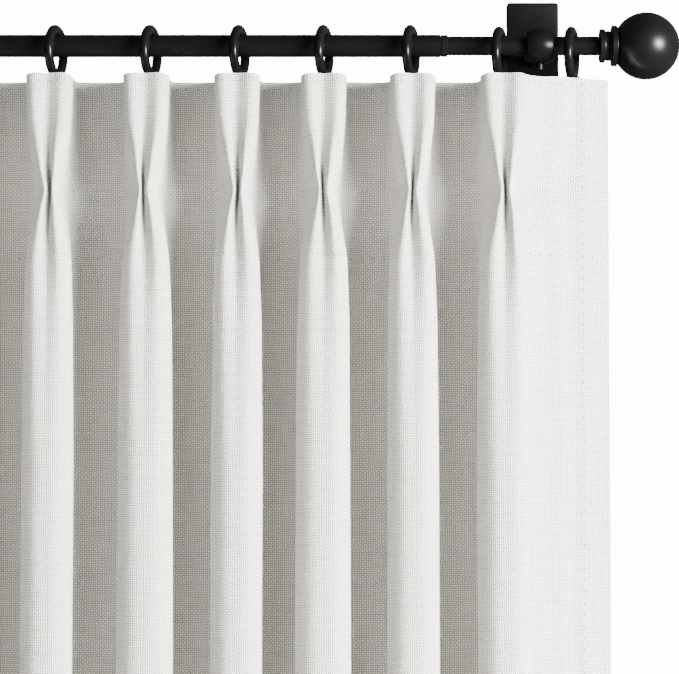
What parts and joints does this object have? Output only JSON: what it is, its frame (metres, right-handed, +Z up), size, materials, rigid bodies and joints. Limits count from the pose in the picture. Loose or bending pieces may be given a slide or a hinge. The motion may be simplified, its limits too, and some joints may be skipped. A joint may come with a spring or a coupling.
{
  "type": "window curtains on a rod",
  "caption": "A pair of pinch-pleated curtains on rings, on a black telescoping rod with ball finials and two wall brackets; the pleats slide along the rod.",
  "frame": {"origin": "on the wall, midway between the two brackets, at the height of the rod's axis", "axes": "+X along the rod to the right as seen from the room, +Y into the wall, +Z up"},
  "size_m": [1.3632, 0.1841, 2.2187],
  "materials": {
    "rod": "satin black paint",
    "collar": "satin black",
    "finial": "satin black paint",
    "bracket": "satin black paint",
    "rings": "satin black paint",
    "steel": "zinc plated",
    "linen": "coarse linen weave, natural off-white"
  },
  "bodies": {
    "root": {"outer_tube": "rod", "tube_collar": "collar", "left_wall_strap": "steel", "left_wall_screw_top": "steel", "left_wall_screw_bottom": "steel", "left_arm": "bracket", "left_cover_plate": "bracket", "left_rod_holder": "bracket", "right_wall_strap": "steel", "right_wall_screw_top": "steel", "right_wall_screw_bottom": "steel", "right_arm": "bracket", "right_cover_plate": "bracket", "right_rod_holder": "bracket"},
    "inner_rod": {"inner_tube": "rod"},
    "left_lock": {"left_lock_screw": "bracket"},
    "left_finial": {"left_finial_neck": "finial", "left_finial_ball": "finial"},
    "right_lock": {"right_lock_screw": "bracket"},
    "right_finial": {"right_finial_neck": "finial", "right_finial_ball": "finial"},
    "left_return": {"left_ring_return": "rings", "left_return_edge": "linen"},
    "left_1": {"left_ring_1": "rings", "left_pleat_1": "linen"},
    "left_2": {"left_ring_2": "rings", "left_pleat_2": "linen"},
    "left_3": {"left_ring_3": "rings", "left_pleat_3": "linen"},
    "left_4": {"left_ring_4": "rings", "left_pleat_4": "linen"},
    "left_5": {"left_ring_5": "rings", "left_pleat_5": "linen"},
    "left_6": {"left_ring_6": "rings", "left_pleat_6": "linen"},
    "left_7": {"left_ring_7": "rings", "left_pleat_7": "linen"},
    "left_lead": {"left_ring_lead": "rings", "left_lead_edge": "linen"},
    "right_return": {"right_ring_return": "rings", "right_return_edge": "linen"},
    "right_1": {"right_ring_1": "rings", "right_pleat_1": "linen"},
    "right_2": {"right_ring_2": "rings", "right_pleat_2": "linen"},
    "right_3": {"right_ring_3": "rings", "right_pleat_3": "linen"},
    "right_4": {"right_ring_4": "rings", "right_pleat_4": "linen"},
    "right_5": {"right_ring_5": "rings", "right_pleat_5": "linen"},
    "right_6": {"right_ring_6": "rings", "right_pleat_6": "linen"},
    "right_7": {"right_ring_7": "rings", "right_pleat_7": "linen"},
    "right_lead": {"right_ring_lead": "rings", "right_lead_edge": "linen"}
  },
  "joints": [
    {"name": "rod_extend", "type": "slide", "parent": "root", "child": "inner_rod", "axis": [1, 0, 0], "range_m": [-0.004, 0.1]},
    {"name": "right_finial_pull", "type": "slide", "parent": "inner_rod", "child": "right_finial", "axis": [1, 0, 0], "range_m": [0, 0.021]},
    {"name": "left_finial_pull", "type": "slide", "parent": "root", "child": "left_finial", "axis": [-1, 0, 0], "range_m": [0, 0.021]},
    {"name": "left_lock_turn", "type": "hinge", "parent": "root", "child": "left_lock", "pos_m": [-0.564, -0.09, -0.018], "axis": [0, 0, -1], "range_deg": [0, 450]},
    {"name": "left_first_slide", "type": "slide", "parent": "root", "child": "left_1", "axis": [-1, 0, 0], "range_m": [0, 0.005]},
    {"name": "left_return_slide", "type": "slide", "parent": "left_1", "child": "left_return", "axis": [-1, 0, 0], "range_m": [-0.004, 0.004]},
    {"name": "left_draw", "type": "slide", "parent": "left_1", "child": "left_2", "axis": [-1, 0, 0], "range_m": [0, 0.032]},
    {"name": "left_draw_3", "type": "slide", "parent": "left_2", "child": "left_3", "axis": [-1, 0, 0], "range_m": [0, 0.032]},
    {"name": "left_draw_4", "type": "slide", "parent": "left_3", "child": "left_4", "axis": [-1, 0, 0], "range_m": [0, 0.032]},
    {"name": "left_draw_5", "type": "slide", "parent": "left_4", "child": "left_5", "axis": [-1, 0, 0], "range_m": [0, 0.032]},
    {"name": "left_draw_6", "type": "slide", "parent": "left_5", "child": "left_6", "axis": [-1, 0, 0], "range_m": [0, 0.032]},
    {"name": "left_draw_7", "type": "slide", "parent": "left_6", "child": "left_7", "axis": [-1, 0, 0], "range_m": [0, 0.032]},
    {"name": "left_draw_lead", "type": "slide", "parent": "left_7", "child": "left_lead", "axis": [-1, 0, 0], "range_m": [0, 0.032]},
    {"name": "right_lock_turn", "type": "hinge", "parent": "root", "child": "right_lock", "pos_m": [0.564, -0.09, -0.018], "axis": [0, 0, -1], "range_deg": [0, 450]},
    {"name": "right_first_slide", "type": "slide", "parent": "root", "child": "right_1", "axis": [1, 0, 0], "range_m": [0, 0.005]},
    {"name": "right_return_slide", "type": "slide", "parent": "right_1", "child": "right_return", "axis": [1, 0, 0], "range_m": [-0.004, 0.004]},
    {"name": "right_draw", "type": "slide", "parent": "right_1", "child": "right_2", "axis": [1, 0, 0], "range_m": [0, 0.032]},
    {"name": "right_draw_3", "type": "slide", "parent": "right_2", "child": "right_3", "axis": [1, 0, 0], "range_m": [0, 0.032]},
    {"name": "right_draw_4", "type": "slide", "parent": "right_3", "child": "right_4", "axis": [1, 0, 0], "range_m": [0, 0.032]},
    {"name": "right_draw_5", "type": "slide", "parent": "right_4", "child": "right_5", "axis": [1, 0, 0], "range_m": [0, 0.032]},
    {"name": "right_draw_6", "type": "slide", "parent": "right_5", "child": "right_6", "axis": [1, 0, 0], "range_m": [0, 0.032]},
    {"name": "right_draw_7", "type": "slide", "parent": "right_6", "child": "right_7", "axis": [1, 0, 0], "range_m": [0, 0.032]},
    {"name": "right_draw_lead", "type": "slide", "parent": "right_7", "child": "right_lead", "axis": [1, 0, 0], "range_m": [0, 0.032]}
  ],
  "couplings": [
    {"joint": "left_draw_3", "follows": "left_draw", "ratio": 1},
    {"joint": "left_draw_4", "follows": "left_draw", "ratio": 1},
    {"joint": "left_draw_5", "follows": "left_draw", "ratio": 1},
    {"joint": "left_draw_6", "follows": "left_draw", "ratio": 1},
    {"joint": "left_draw_7", "follows": "left_draw", "ratio": 1},
    {"joint": "left_draw_lead", "follows": "left_draw", "ratio": 1},
    {"joint": "right_draw_3", "follows": "right_draw", "ratio": 1},
    {"joint": "right_draw_4", "follows": "right_draw", "ratio": 1},
    {"joint": "right_draw_5", "follows": "right_draw", "ratio": 1},
    {"joint": "right_draw_6", "follows": "right_draw", "ratio": 1},
    {"joint": "right_draw_7", "follows": "right_draw", "ratio": 1},
    {"joint": "right_draw_lead", "follows": "right_draw", "ratio": 1}
  ]
}
